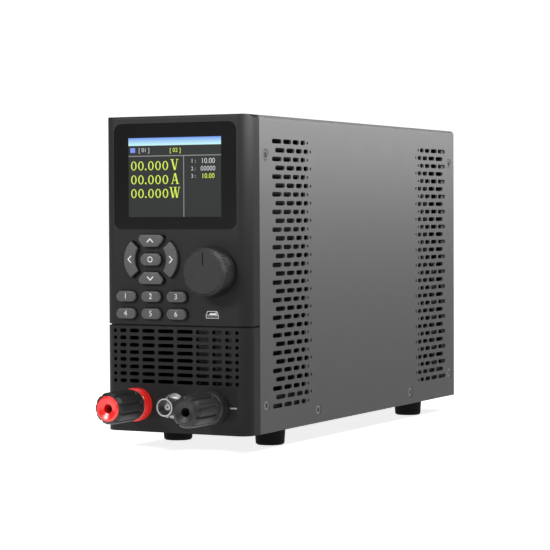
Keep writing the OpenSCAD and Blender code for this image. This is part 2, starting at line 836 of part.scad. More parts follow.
// The sense socket: base collar, barrel with two bayonet lugs, and a threaded back
module bnc_shell() {
    wall = 0.75;
    lug_d = 1.9;
    lug_reach = 5.5;
    lug_in = 3.4;
    well = bnc_reach - 3;
    collar = bnc_collar_d / 2;
    collar_t = 2.4;
    ease = 0.8;
    barrel = bnc_d / 2;
    color(nickel) difference() {
        union() {
            turned(0, front_y, base_z + post_z)
                polygon([[0, front_y - bnc_back], [barrel, front_y - bnc_back], [barrel, 0],
                         [collar, 0], [collar, collar_t - ease], [collar - ease, collar_t],
                         [barrel, collar_t], [barrel, bnc_reach], [0, bnc_reach]]);
            translate([0, front_y - bnc_reach + lug_in, base_z + post_z - lug_reach])
                cylinder(d = lug_d, h = 2 * lug_reach);
        }
        rod_y(0, base_z + post_z, front_y - bnc_reach - 1, front_y - bnc_reach + well, bnc_d - 2 * wall);
        rod_y(0, base_z + post_z, front_y - 5, bnc_back + 1, bnc_core_d + 2 * fit_gap);
    }
}

module bnc_insulator() {
    color([0.86, 0.86, 0.84]) difference() {
        rod_y(0, base_z + post_z, front_y - bnc_reach + bnc_core_in, bnc_back, bnc_core_d);
        rod_y(0, base_z + post_z, front_y - bnc_reach, bnc_back + 1, bnc_pin_d + 2 * fit_gap);
    }
}

module bnc_contact() {
    color(brass) difference() {
        rod_y(0, base_z + post_z, front_y - bnc_reach + bnc_core_in + 0.2, bnc_back + 2, bnc_pin_d);
        rod_y(0, base_z + post_z, front_y - bnc_reach, front_y - 2, bnc_pin_d / 2);
    }
}

// The hole for a cover screw: a dimple, then a plain hole
module screw_hole(y, z) {
    dimple = screw_head_d / 2 + 0.6;
    hole = screw_d / 2 + run_gap;
    translate([body_w / 2, case_y + y, base_z + z]) rotate([0, -90, 0]) {
        translate([0, 0, -1]) cylinder(r1 = dimple + 1, r2 = hole, h = dimple + 1 - hole);
        cylinder(r = hole, h = screw_l + 2);
    }
}

module screw_holes(rows) {
    both_sides() for (i = rows) screw_hole(side_screws[i][0], side_screws[i][1]);
}

module cover_screws() {
    head = screw_head_d / 2;
    slot = head * 1.2;
    color(zinc) both_sides() for (p = side_screws)
        translate([body_w / 2 - screw_sink, case_y + p[0], base_z + p[1]]) rotate([0, -90, 0])
            difference() {
                union() {
                    cylinder(r1 = head, r2 = screw_d / 2, h = head - screw_d / 2);
                    cylinder(d = screw_d, h = screw_l);
                }
                for (a = [45, 135]) rotate(a) cube([slot, 0.7, 1.8], center = true);
            }
}

// One folded sheet: floor, front upright with its windows, and side flanges
module chassis() {
    color(steel_grey) difference() {
        union() {
            plate_z(base_z, base_z + sheet_t) difference() {
                span(-in_hw, in_hw, case_y, wall_in);
                foot_places() circle(d = foot_plug_d + 2 * run_gap);
                spacer_places() circle(d = spacer_foot_d + 2 * run_gap);
            }
            plate_y(case_y, case_y + sheet_t) difference() {
                span(-in_hw, in_hw, base_z, in_top);
                for (w = upright_windows) span(-w[0], w[0], base_z + w[1], base_z + w[2]);
                for (s = [-1, 1], p = concat(upper_bosses, lower_bosses))
                    translate([s * p[0], base_z + p[1]]) circle(d = boss_screw_d + 2 * run_gap);
            }
            both_sides() plate_x(in_hw - sheet_t, in_hw) {
                span(case_y, wall_in - flange_w - 1, base_z, base_z + chassis_side_h);
                span(case_y, case_y + flange_w, base_z, in_top);
            }
        }
        screw_holes([0, 2, 4, 5]);
    }
}

// Where the feet and the board spacers sit, in plan
module foot_places() {
    for (sx = [-1, 1], y = [case_y + foot_inset, rear_y - foot_inset])
        translate([sx * foot_x, y]) children();
}

module spacer_places() {
    leg = sink_w / 2 - 2.5;
    for (sx = [-1, 1], y = [sink_front + 8, sink_back - 18]) translate([sx * leg, y]) children();
    for (sx = [-1, 1]) translate([sx * (main_board_hw - 4), board_front + spacer_inset]) children();
}

module rear_panel() {
    low = base_z + sheet_t;
    color(steel_grey) difference() {
        union() {
            plate_y(wall_in, wall_y) difference() {
                span(-in_hw, in_hw, low, in_top);
                translate([0, fan_mid_z]) circle(fan_bore);
                fan_corners() circle(d = fan_hole_d);
                translate([inlet_x, base_z + inlet_z]) square([inlet_w + 0.2, inlet_h + 0.2], center = true);
                translate([rocker_x, base_z + inlet_z])
                    square([switch_body_w + 0.2, switch_body_h + 0.2], center = true);
            }
            both_sides() plate_x(in_hw - sheet_t, in_hw) span(wall_in - flange_w, wall_y, low, in_top);
        }
        screw_holes([1, 3]);
    }
}

// One row of slots from an edge of the cover inwards, with a round hole at its end
module slot_row(row) {
    dot = slot_h * 0.75;
    start = slot_inset + (row % 2) * slot_shift;
    row_l = slot_cols * (slot_long + slot_gap) - slot_step * slot_cols * (slot_cols - 1) / 2;
    for (col = [0 : slot_cols - 1]) {
        w = slot_long - col * slot_step;
        y = start + col * (slot_long + slot_gap) - slot_step * col * (col - 1) / 2;
        translate([y + w / 2, 0]) pill(w, slot_h);
    }
    translate([start + row_l + dot / 2, 0]) circle(d = dot);
}

// A side of the cover, laid up from strips of one row each
module cover_side(shoulder) {
    edges = [for (row = [0 : slot_rows]) base_z + slot_margin + row * slot_pitch];
    plate_x(body_w / 2 - cover_t, body_w / 2) cover_strip(base_z, edges[0]);
    plate_x(body_w / 2 - cover_t, body_w / 2) cover_strip(edges[slot_rows], shoulder);
    for (row = [0 : slot_rows - 1]) plate_x(body_w / 2 - cover_t, body_w / 2) difference() {
        middle = (edges[row] + edges[row + 1]) / 2;
        cover_strip(edges[row], edges[row + 1]);
        translate([case_y, middle]) slot_row(row);
        translate([rear_y, middle]) mirror([1, 0]) slot_row(row);
    }
}

// Neighbouring strips share their corners, so they join without a seam
module cover_strip(low, high) {
    polygon([[case_y, low], [rear_y, low], [rear_y, high], [case_y, high]]);
}

module top_cover() {
    shoulder = top_z - bend_r;
    color(steel_grey) difference() {
        union() {
            both_sides() cover_side(shoulder);
            plate_y(case_y, rear_y) difference() {
                case_outline(0);
                case_outline(cover_t);
                span(-body_w, body_w, base_z - 1, shoulder);
            }
        }
        screw_holes([0 : len(side_screws) - 1]);
    }
}

// Rubber feet, each with a plug that grips the chassis
module feet() {
    ease = 0.8;
    color(black) foot_places() {
        cylinder(d1 = foot_floor_d - 2 * ease, d2 = foot_floor_d, h = ease);
        translate([0, 0, ease]) cylinder(d1 = foot_floor_d, d2 = foot_top_d, h = foot_h - ease);
        translate([0, 0, foot_h - eps]) cylinder(d = foot_plug_d, h = sheet_t + 1.2);
    }
}

module pan_screw(d, l, head_d, head_h) {
    translate([0, 0, -eps]) cylinder(d = d, h = l + eps);
    translate([0, 0, -head_h]) cylinder(d = head_d, h = head_h);
}

// Screws through the chassis upright and the control board into the bosses of the front mouldings
module inner_screws() {
    color(zinc) both_sides() {
        for (p = concat(upper_bosses, lower_bosses))
            translate([p[0], case_y + sheet_t, base_z + p[1]]) inner_screw();
        for (z = board_boss_zs) translate([board_boss_x, board_y + board_t, base_z + z]) inner_screw();
    }
}

module inner_screw() {
    rotate([90, 0, 0]) pan_screw(boss_screw_d, boss_screw_l, boss_head_d, boss_head_h);
}

// Corner holes of the fan, in rear view
module fan_corners() {
    for (sx = [-1, 1], sz = [-1, 1]) translate([sx * fan_hole, fan_mid_z + sz * fan_hole]) children();
}

// The fan's housing: square frame, four arms and the bearing in its middle
module fan_frame() {
    arm_t = 4;
    motor_r = 16;
    arm_w = 4;
    color(black) difference() {
        union() {
            plate_y(fan_y, wall_in) translate([0, fan_mid_z]) difference() {
                rounded_box(fan_w, fan_w, 4);
                circle(fan_bore);
            }
            plate_y(wall_in - arm_t, wall_in) translate([0, fan_mid_z]) {
                circle(motor_r);
                for (a = [0 : 90 : 270]) rotate(a + 20)
                    span(motor_r - 2, fan_bore + 1, -arm_w / 2, arm_w / 2);
            }
            rod_y(0, fan_mid_z, fan_y + 8, wall_in, 8);
        }
        rod_y(0, fan_mid_z, fan_y, wall_in - 2, fan_shaft_d + 2 * run_gap);
        plate_y(fan_y - 1, wall_y) fan_corners() circle(d = fan_hole_d);
    }
}

// The fan's rotor: a cup on its shaft, with pitched blades
module fan_rotor() {
    blades = 7;
    hub_r = 17;
    blade_t = 1.6;
    tip_gap = 1;
    color(black) {
        difference() {
            union() {
                rod_y(0, fan_mid_z, fan_y + 2, wall_in - 5.5, 2 * hub_r);
                intersection() {
                    rod_y(0, fan_mid_z, fan_y + 3, wall_in - 6, 2 * (fan_bore - tip_gap));
                    translate([0, fan_y + fan_d / 2, fan_mid_z]) for (i = [0 : blades - 1])
                        rotate([0, i * 360 / blades, 0]) translate([hub_r - 2, 0, 0]) rotate([40, 0, 0])
                            translate([0, -fan_d, -blade_t / 2]) cube([fan_bore, 2 * fan_d, blade_t]);
                }
            }
            rod_y(0, fan_mid_z, fan_y + 5, wall_in, 2 * (hub_r - 2));
        }
        rod_y(0, fan_mid_z, fan_y + 4, wall_in - 4, fan_shaft_d);
    }
}

// Wire guard over the fan: welded rings on two crossing wires that end in screw eyes
module fan_guard() {
    wire = guard_eye_t;
    rings = 4;
    ring_y = wall_y + 1.5 * wire - 0.4;
    reach = fan_hole * sqrt(2);
    spoke_r = 6;
    eye_w = 1.8;
    color(zinc) {
        for (i = [1 : rings]) translate([0, ring_y, fan_mid_z]) rotate([90, 0, 0])
            rotate_extrude() translate([i * fan_bore / rings - wire / 2, 0]) circle(d = wire);
        translate([0, 0, fan_mid_z]) for (a = [45 : 90 : 315]) rotate([0, a, 0])
            translate([spoke_r, wall_y + wire / 2, 0]) rotate([0, 90, 0])
                cylinder(d = wire, h = reach - spoke_r - fan_hole_d / 2 - eye_w / 2);
        plate_y(wall_y, wall_y + guard_eye_t) fan_corners() difference() {
            circle(d = fan_hole_d + 2 * eye_w);
            circle(d = fan_hole_d);
        }
    }
}

module fan_screws() {
    color(zinc) for (sx = [-1, 1], sz = [-1, 1])
        translate([sx * fan_hole, wall_y + guard_eye_t, fan_mid_z + sz * fan_hole]) rotate([90, 0, 0])
            pan_screw(fan_hole_d - 2 * run_gap, 12, 7, fan_head_h);
}

module mains_inlet() {
    mouth = wall_y + inlet_lip;
    color(black) translate([inlet_x, 0, base_z + inlet_z]) difference() {
        union() {
            plate_y(wall_y - inlet_deep, wall_y) square([inlet_w, inlet_h], center = true);
            plate_y(wall_y, mouth) rounded_box(inlet_w + 4, inlet_h + 4, 2);
        }
        plate_y(mouth - socket_deep, mouth + 1) translate([0, -socket_drop]) inlet_cavity();
        plate_y(mouth - drawer_deep - 0.4, mouth + 1) translate([0, drawer_lift])
            square([drawer_w + 0.4, drawer_h + 0.4], center = true);
        for (p = pin_places) translate([p[0], 0, p[1] - socket_drop])
            plate_y(wall_y - inlet_deep - 1, mouth)
                square(pin_size + [2 * fit_gap, 2 * fit_gap], center = true);
    }
}

// The inlet's cavity: a rectangle with two corners cut
module inlet_cavity() {
    cut = 4;
    hw = socket_w / 2;
    hh = socket_h / 2;
    polygon([[-hw, -hh], [hw, -hh], [hw, hh - cut], [hw - cut, hh], [cut - hw, hh], [-hw, hh - cut]]);
}

module inlet_pins() {
    color(nickel) for (p = pin_places)
        translate([inlet_x + p[0], 0, base_z + inlet_z + p[1] - socket_drop])
            plate_y(wall_y - inlet_deep - 7, wall_y + inlet_lip - 5.5) square(pin_size, center = true);
}

// The fuse drawer, with a finger notch in its face and a trough for the fuse
module fuse_drawer() {
    mouth = wall_y + inlet_lip;
    color(black) translate([inlet_x, 0, base_z + inlet_z + drawer_lift]) difference() {
        plate_y(mouth - drawer_deep, mouth) square([drawer_w, drawer_h], center = true);
        plate_y(mouth - drawer_deep + 2, mouth - 3) translate([0, drawer_h / 2])
            square([drawer_w - 4, drawer_h], center = true);
        plate_y(mouth - 1.2, mouth + 1) translate([0, -drawer_h / 2]) circle(d = 7);
    }
}

module switch_housing() {
    color(black) translate([rocker_x, 0, base_z + inlet_z]) difference() {
        union() {
            plate_y(wall_y - switch_deep, wall_y) square([switch_body_w, switch_body_h], center = true);
            plate_y(wall_y, wall_y + switch_lip) rounded_box(switch_body_w + 2, switch_body_h + 2, 1);
        }
        plate_y(rocker_y - 7, wall_y + 3) square([2 * rocker_hw + 0.6, 2 * rocker_hh + 2.6], center = true);
        translate([-switch_body_w / 2 + 0.4, rocker_y, 0]) rotate([0, 90, 0])
            cylinder(d = rocker_pin_d + 2 * run_gap, h = switch_body_w - 0.8);
    }
}

// The rocker in its off position: its upper half stands proud
module power_rocker() {
    dish = 2.4;
    crown = 4;
    root = 3;
    color(black) translate([rocker_x, rocker_y, base_z + inlet_z]) rotate([-rocker_turn / 2, 0, 0]) {
        plate_x(-rocker_hw, rocker_hw) {
            polygon([[dish, 0], [crown, rocker_hh], [0, rocker_hh], [-root, root], [-root, -root],
                     [0, -rocker_hh], [crown, -rocker_hh]]);
        }
        translate([1 - switch_body_w / 2, 0, 0]) rotate([0, 90, 0])
            cylinder(d = rocker_pin_d, h = switch_body_w - 2);
    }
}

module main_board() {
    color(green) plate_z(main_board_z, main_top) difference() {
        span(-main_board_hw, main_board_hw, board_front, board_back);
        spacer_places() circle(d = clinch_d + 2 * run_gap);
    }
}

// Spacers clinched into the chassis floor, each with a stud through the main board
module board_spacers() {
    color(zinc) spacer_places() {
        translate([0, 0, base_z]) cylinder(d = spacer_foot_d, h = sheet_t + eps);
        translate([0, 0, base_z + sheet_t]) cylinder(d = 6, h = spacer_h);
        translate([0, 0, main_board_z - eps]) cylinder(d = clinch_d, h = board_t + clinch_h);
    }
}

// Extruded heat sink: two legs on the board, a thick floor and a row of fins
module heatsink() {
    floor_z = sink_leg_h + sink_floor_t;
    leg_w = 5;
    pitch = (sink_w - fin_t) / (fins - 1);
    color(zinc) difference() {
        plate_y(sink_front, sink_back) translate([0, main_top]) {
            for (s = [-1, 1]) translate([s * (sink_w - leg_w) / 2 - leg_w / 2, 0])
                square([leg_w, sink_leg_h + eps]);
            translate([-sink_w / 2, sink_leg_h]) square([sink_w, sink_floor_t]);
            for (i = [0 : fins - 1]) translate([i * pitch - sink_w / 2, floor_z - eps])
                square([fin_t, sink_h - floor_z + eps]);
        }
        translate([0, 0, main_top - 1]) spacer_places()
            cylinder(d = clinch_d + 2 * run_gap, h = clinch_h + 2);
    }
}

// Four transistors clamped under the floor of the heat sink, their legs bent down to the board
module power_transistors() {
    count = 4;
    pitch = (sink_l - 2 * transistor_end) / count;
    leg_t = transistor_leg_t;
    leg_x = -transistor[0] / 2 - transistor_leg_reach;
    leg_z = sink_leg_h - transistor[2] / 2 - leg_t;
    color(black) for (i = [0 : count - 1])
        translate([0, sink_front + transistor_end + (i + 0.5) * pitch, main_top]) {
            translate([-transistor[0] / 2, -transistor[1] / 2, sink_leg_h - transistor[2]]) cube(transistor);
            for (j = [-1 : 1])
                translate([leg_x, j * transistor_leg_pitch - leg_t / 2, 0]) {
                    cube([leg_t, leg_t, leg_z + leg_t]);
                    translate([0, 0, leg_z]) cube([transistor_leg_reach + eps, leg_t, leg_t]);
                }
        }
}

// Copper bars from the studs back to the main board
module input_busbars() {
    bar_y = panel_back + nut_t;
    color([0.75, 0.45, 0.25]) for (s = [-1, 1]) difference() {
        translate([s * post_x, 0, 0]) plate_x(-bar_w / 2, bar_w / 2) {
            span(bar_y, bar_y + bar_t, main_top, base_z + post_z + 6);
            span(bar_y, bar_end, main_top, main_top + bar_t);
        }
        rod_y(s * post_x, base_z + post_z, bar_y - 1, bar_y + bar_t + 1, stud_d + 2 * run_gap);
    }
}

// Mains transformer: laminated core with its winding
module transformer() {
    color([0.25, 0.25, 0.27]) translate([0, core_y, main_top]) {
        translate([-core[0] / 2, -core[1] / 2, 0]) cube(core);
        translate([-coil[0] / 2, -coil[1] / 2, (core[2] - coil[2]) / 2]) cube(coil);
    }
}

module capacitors() {
    color(black) for (y = can_ys) translate([can_x, y, main_top]) cylinder(d = can_d, h = can_h);
}

// Flat cable from the control board, through the chassis window, down to the main board
module ribbon_cable() {
    turn_y = ribbon_back - ribbon_bend;
    turn_z = ribbon_z - ribbon_bend;
    color([0.6, 0.6, 0.6]) plate_x(-ribbon_hw, ribbon_hw) {
        span(board_y + board_t, turn_y, ribbon_z - ribbon_t, ribbon_z);
        span(ribbon_back - ribbon_t, ribbon_back, main_top, turn_z);
        intersection() {
            translate([turn_y, turn_z]) difference() {
                circle(ribbon_bend);
                circle(ribbon_bend - ribbon_t);
            }
            span(turn_y - eps, ribbon_back, turn_z - eps, ribbon_z);
        }
    }
}

// Folded insulating shield behind the cover's slots, standing on the main board
module inner_shield() {
    hw = main_board_hw - shield_edge;
    color(black) plate_y(case_y + sheet_t + boss_head_h + sheet_gap, board_back - shield_edge) difference() {
        span(-hw, hw, main_top, in_top);
        span(shield_t - hw, hw - shield_t, main_top - 1, in_top - shield_t);
    }
}

front_panel_upper();
front_panel_lower();
display_window();
lcd_module();
control_board();
tact_switches();
key_up();
key_down();
key_left();
key_right();
key_ok();
pill_key(0);  // key_1
pill_key(1);  // key_2
pill_key(2);  // key_3
pill_key(3);  // key_4
pill_key(4);  // key_5
pill_key(5);  // key_6
dial();
encoder_shaft();
encoder_body();
usb_shell();
usb_tongue();
red_post_stud();
red_post_flange();
red_post_washer();
red_post_cap();
red_post_ring();
black_post_stud();
black_post_flange();
black_post_washer();
black_post_cap();
black_post_ring();
panel_nuts();
bnc_shell();
bnc_insulator();
bnc_contact();
chassis();
rear_panel();
top_cover();
feet();
cover_screws();
inner_screws();
fan_frame();
fan_rotor();
fan_guard();
fan_screws();
mains_inlet();
inlet_pins();
fuse_drawer();
switch_housing();
power_rocker();
main_board();
board_spacers();
heatsink();
power_transistors();
input_busbars();
transformer();
capacitors();
ribbon_cable();
inner_shield();
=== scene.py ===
from math import atan2, cos, pi, radians, sin, sqrt, tan

import bmesh
import bpy
from mathutils import Matrix, Vector


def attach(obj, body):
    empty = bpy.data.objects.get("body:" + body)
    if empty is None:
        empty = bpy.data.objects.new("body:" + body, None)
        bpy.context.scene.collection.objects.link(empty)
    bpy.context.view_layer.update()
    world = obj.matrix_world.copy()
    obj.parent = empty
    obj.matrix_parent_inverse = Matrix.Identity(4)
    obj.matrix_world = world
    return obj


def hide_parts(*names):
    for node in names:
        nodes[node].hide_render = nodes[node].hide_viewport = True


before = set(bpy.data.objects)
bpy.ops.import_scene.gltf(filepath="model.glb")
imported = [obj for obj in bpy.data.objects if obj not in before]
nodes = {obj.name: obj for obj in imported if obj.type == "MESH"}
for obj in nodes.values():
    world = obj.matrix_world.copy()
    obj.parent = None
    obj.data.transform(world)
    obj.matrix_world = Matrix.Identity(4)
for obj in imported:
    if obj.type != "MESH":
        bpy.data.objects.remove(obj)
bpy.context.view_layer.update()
scene = bpy.context.scene
mm = 0.001
inkThick = 0.03                                  # printed marks, in mm
litThick = 0.02                                  # figures on the screen, in mm
mergeGap = 0.0005                                # vertices this near are one, in mm


def reach(node, axis, pick):                     # a solid's outermost place along an axis, in mm
    return round(pick(corner[axis] for corner in nodes[node].bound_box) / mm, 3)


def middle(node):                                # a solid's middle, x and height above the case underside
    x, z = ((reach(node, axis, min) + reach(node, axis, max)) / 2 for axis in (0, 2))
    return round(x, 3), round(z - case["baseZ"], 3)


case = {"frontY": reach("front_panel_upper", 1, min), "baseZ": reach("chassis", 2, min),
        "wallY": reach("rear_panel", 1, max)}
print("frame loaded,", len(nodes), "nodes; case", case)

# camera, fitted to the photograph's edges; lengths in mm, focal length and offset in pixels
shot = {"target": (0, 13.75, 93.6), "azimuth": 27.156, "elevation": 1.509, "roll": -0.24,
        "distance": 1209.575, "focal": 2057.584, "offset": (18.811, -6.926), "frame": 550, "sensor": 36}


def aimCamera():
    a, e, r = (radians(shot[k]) for k in ("azimuth", "elevation", "roll"))
    back = Vector((sin(a) * cos(e), -cos(a) * cos(e), sin(e)))
    level = Vector((cos(a), sin(a), 0))
    plumb = back.cross(level)
    right = level * cos(r) + plumb * sin(r)
    up = plumb * cos(r) - level * sin(r)
    lens = bpy.data.cameras.new("photoCamera")
    lens.sensor_width = shot["sensor"]
    lens.lens = shot["focal"] / shot["frame"] * shot["sensor"]
    lens.shift_x = -shot["offset"][0] / shot["frame"]
    lens.shift_y = shot["offset"][1] / shot["frame"]
    lens.clip_start, lens.clip_end = 0.05, 50
    camera = bpy.data.objects.new("photoCamera", lens)
    scene.collection.objects.link(camera)
    spot = (Vector(shot["target"]) + back * shot["distance"]) * mm
    camera.matrix_world = Matrix((right, up, back)).transposed().to_4x4()
    camera.location = spot
    scene.camera = camera


aimCamera()
print("camera aimed")


# a node socket that can stand in sums, and one way to add any other node
class Wire:
    def __init__(self, tree, socket=None):
        self.tree = tree
        self.socket = socket

    def add(self, kind, settings=None, sockets=None, out=0):
        node = self.tree.nodes.new(kind)
        for name, value in (settings or {}).items():
            setattr(node, name, value)
        for name, value in (sockets or {}).items():
            if isinstance(value, Wire):
                self.tree.links.new(value.socket, node.inputs[name])
            else:
                node.inputs[name].default_value = value
        return Wire(self.tree, node.outputs[out])

    def math(self, operation, first, second=0.0):
        return self.add("ShaderNodeMath", {"operation": operation}, {0: first, 1: second})

    def __add__(self, other):
        return self.math("ADD", self, other)

    def __sub__(self, other):
        return self.math("SUBTRACT", self, other)

    def __rsub__(self, other):
        return self.math("SUBTRACT", other, self)

    def __mul__(self, other):
        return self.math("MULTIPLY", self, other)

    def __truediv__(self, other):
        return self.math("DIVIDE", self, other)

    def __gt__(self, other):
        return self.math("GREATER_THAN", self, other)

    def __lt__(self, other):
        return self.math("LESS_THAN", self, other)

    def __abs__(self):
        return self.math("ABSOLUTE", self)

    __radd__ = __add__
    __rmul__ = __mul__


def noise(place, scale, detail=2.0):
    return place.add("ShaderNodeTexNoise", None, {"Vector": place, "Scale": scale, "Detail": detail})


def tint(share, low, high):
    colours = {0: share}
    for socket, colour in ((6, low), (7, high)):
        colours[socket] = colour if isinstance(colour, Wire) else (*colour, 1)
    return share.add("ShaderNodeMix", {"data_type": "RGBA"}, colours, out=2)


def relief(height, depth):
    return height.add("ShaderNodeBump", None, {"Strength": 1.0, "Distance": depth * mm, "Height": height})


def along(place, axis):                          # a place's measure along X, Y or Z, in mm
    return place.add("ShaderNodeSeparateXYZ", None, {0: place}, out=axis) * (1 / mm)


def makeFinish(name, fixed, paint):
    look = bpy.data.materials.new(name)
    look.use_nodes = True
    tree = look.node_tree
    shader = tree.nodes["Principled BSDF"]
    for socket, value in fixed.items():
        shader.inputs[socket].default_value = value
    place = Wire(tree).add("ShaderNodeTexCoord", out="Object")
    for socket, value in paint(place).items():
        tree.links.new(value.socket, shader.inputs[socket])
    return look


def grey(level):
    return (level, level, level)


# finishes: two colours each drifts between, patch and grain per metre, roughness span, grain depth in mm,
# fixed sockets, and a painted side shade: the reach in front of the panel, in mm, behind which a darker
# colour is painted on the side walls as shade
finishes = {
    "frontPlastic": {"colours": (grey(0.0075), grey(0.0105)), "patch": 45, "grain": 2400,
                     "rough": (0.44, 0.56), "depth": 0.03, "fixed": {"Specular IOR Level": 0.22}},
    "windowGloss": {"colours": (grey(0.0065), grey(0.0080)), "patch": 20, "grain": 300,
                    "rough": (0.10, 0.16), "depth": 0.0008, "fixed": {"Specular IOR Level": 0.22}},
    "keySatin": {"colours": (grey(0.058), grey(0.068)), "patch": 160, "grain": 3000,
                 "rough": (0.40, 0.50), "depth": 0.012, "fixed": {"Specular IOR Level": 0.3},
                 # the keys are one grey plastic: their side walls are painted darker as shade
                 "paintedSideShade": (1.3, grey(0.018))},
    "dialSatin": {"colours": (grey(0.019), grey(0.024)), "patch": 120, "grain": 2600,
                  "rough": (0.38, 0.50), "depth": 0.015, "fixed": {"Specular IOR Level": 0.25},
                  # the dial's side wall is painted darker as shade
                  "paintedSideShade": (9.7, grey(0.007))},
    "casePaint": {"colours": (grey(0.072), grey(0.084)), "patch": 70, "grain": 1500,
                  "rough": (0.42, 0.54), "depth": 0.03, "fixed": {"Specular IOR Level": 0.22}},
    "blackMoulded": {"colours": (grey(0.010), grey(0.015)), "patch": 150, "grain": 2200,
                     "rough": (0.42, 0.54), "depth": 0.012, "fixed": {"Specular IOR Level": 0.42}},
    "redGloss": {"colours": ((0.72, 0.016, 0.014), (0.84, 0.026, 0.022)), "patch": 150, "grain": 1800,
                 "rough": (0.20, 0.30), "depth": 0.008, "fixed": {"Coat Weight": 0.3}},
    "footRubber": {"colours": (grey(0.004), grey(0.007)), "patch": 180, "grain": 2000,
                   "rough": (0.62, 0.78), "depth": 0.03, "fixed": {"Specular IOR Level": 0.1}},
    "zincSteel": {"colours": (grey(0.46), grey(0.58)), "patch": 260, "grain": 1600,
                  "rough": (0.26, 0.40), "depth": 0.004, "fixed": {"Metallic": 1}},
    "screwSteel": {"colours": (grey(0.17), grey(0.23)), "patch": 260, "grain": 1600,
                   "rough": (0.34, 0.46), "depth": 0.004, "fixed": {"Metallic": 1}},
    "nickelBright": {"colours": (grey(0.60), grey(0.70)), "patch": 240, "grain": 900,
                     "rough": (0.12, 0.22), "depth": 0.003, "fixed": {"Metallic": 1}},
    "nickelDull": {"colours": (grey(0.42), grey(0.50)), "patch": 300, "grain": 900,
                   "rough": (0.30, 0.40), "depth": 0.002, "fixed": {"Metallic": 1}},
    "paleInsulator": {"colours": (grey(0.34), grey(0.40)), "patch": 300, "grain": 900,
                      "rough": (0.35, 0.45), "depth": 0.004, "fixed": {}},
    "boardGreen": {"colours": ((0.010, 0.075, 0.030), (0.016, 0.11, 0.045)), "patch": 140, "grain": 700,
                   "rough": (0.30, 0.42), "depth": 0.01, "fixed": {}},
    "moduleGrey": {"colours": (grey(0.05), grey(0.07)), "patch": 90, "grain": 1200,
                   "rough": (0.40, 0.50), "depth": 0.01, "fixed": {}},
    "bareAluminium": {"colours": (grey(0.52), grey(0.62)), "patch": 80, "grain": 1200,
                      "rough": (0.34, 0.48), "depth": 0.006, "fixed": {"Metallic": 1}},
    "copperBar": {"colours": ((0.55, 0.24, 0.12), (0.66, 0.32, 0.18)), "patch": 120, "grain": 900,
                  "rough": (0.28, 0.40), "depth": 0.004, "fixed": {"Metallic": 1}},
    "varnishedCore": {"colours": (grey(0.035), grey(0.060)), "patch": 200, "grain": 1400,
                      "rough": (0.36, 0.52), "depth": 0.02, "fixed": {}},
    "cableGrey": {"colours": (grey(0.26), grey(0.32)), "patch": 200, "grain": 1200,
                  "rough": (0.45, 0.60), "depth": 0.01, "fixed": {}},
    "printPale": {"colours": (grey(0.50), grey(0.60)), "patch": 500, "grain": 4000,
                  "rough": (0.45, 0.60), "depth": 0.004, "fixed": {}},
    "printSoft": {"colours": (grey(0.26), grey(0.33)), "patch": 500, "grain": 4000,
                  "rough": (0.45, 0.60), "depth": 0.004, "fixed": {}},
    "inkBlack": {"colours": (grey(0.002), grey(0.004)), "patch": 500, "grain": 4000,
                 "rough": (0.60, 0.70), "depth": 0.004, "fixed": {"Specular IOR Level": 0.05}},
    "shieldBlack": {"colours": (grey(0.004), grey(0.007)), "patch": 60, "grain": 900,
                    "rough": (0.60, 0.75), "depth": 0.01, "fixed": {"Specular IOR Level": 0.1}},
    "innerSteel": {"colours": (grey(0.009), grey(0.013)), "patch": 70, "grain": 1500,
                   "rough": (0.55, 0.68), "depth": 0.03, "fixed": {"Specular IOR Level": 0.1}},
}


def grained(spec):
    def paint(place):
        drift = noise(place, spec["patch"])
        speck = noise(place, spec["grain"], 3.0)
        smooth, dull = spec["rough"]
        colour = tint(drift * 0.5 + speck * 0.5, *spec["colours"])
        # painted shade: parts nearer the panel than the reach take the darker colour in place of shadow
        if "paintedSideShade" in spec:
            out, shade = spec["paintedSideShade"]
            colour = tint(along(place, "Y") > case["frontY"] - out, colour, shade)
        return {"Base Color": colour, "Roughness": drift * (dull - smooth) + smooth,
                "Normal": relief(speck, spec["depth"])}
    return paint


finish = {name: makeFinish(name, spec["fixed"], grained(spec)) for name, spec in finishes.items()}
worn = {
    "frontPlastic": ["front_panel_upper", "front_panel_lower"],
    "windowGloss": ["display_window"],
    "moduleGrey": ["lcd_module"],
    "boardGreen": ["control_board", "main_board"],
    "blackMoulded": ["tact_switches", "black_post_flange", "black_post_ring", "fan_frame", "fan_rotor",
                     "mains_inlet", "fuse_drawer", "switch_housing", "power_rocker", "power_transistors",
                     "capacitors"],
    "zincSteel": ["encoder_shaft", "encoder_body", "red_post_washer", "black_post_washer", "panel_nuts",
                  "inner_screws", "fan_guard", "fan_screws", "board_spacers"],
    "screwSteel": ["cover_screws"],
    "nickelBright": ["usb_shell", "red_post_stud", "black_post_stud", "inlet_pins"],
    "redGloss": ["red_post_flange", "red_post_ring"],
    "paleInsulator": ["bnc_insulator"],
    "printPale": ["usb_tongue"],
    "nickelDull": ["bnc_shell", "bnc_contact"],
    "casePaint": ["rear_panel", "top_cover"],
    "innerSteel": ["chassis"],
    "shieldBlack": ["inner_shield"],
    "footRubber": ["feet"],
    "bareAluminium": ["heatsink"],
    "copperBar": ["input_busbars"],
    "varnishedCore": ["transformer"],
    "cableGrey": ["ribbon_cable"],
}
for name, wearers in worn.items():
    for wearer in wearers:
        for slot in nodes[wearer].material_slots:
            slot.material = finish[name]
print("finishes on the solids:", sum(len(w) for w in worn.values()))


# front pieces are drawn flat, x right, y up and z towards the viewer, in mm, then stood on the panel
def standUp(bm, x, height, out=0.0):
    spot = Matrix.Translation((x * mm, (case["frontY"] - out) * mm, (case["baseZ"] + height) * mm))
    turn = Matrix.Rotation(radians(90), 4, "X")
    bmesh.ops.transform(bm, matrix=spot @ turn @ Matrix.Scale(mm, 4), verts=bm.verts)


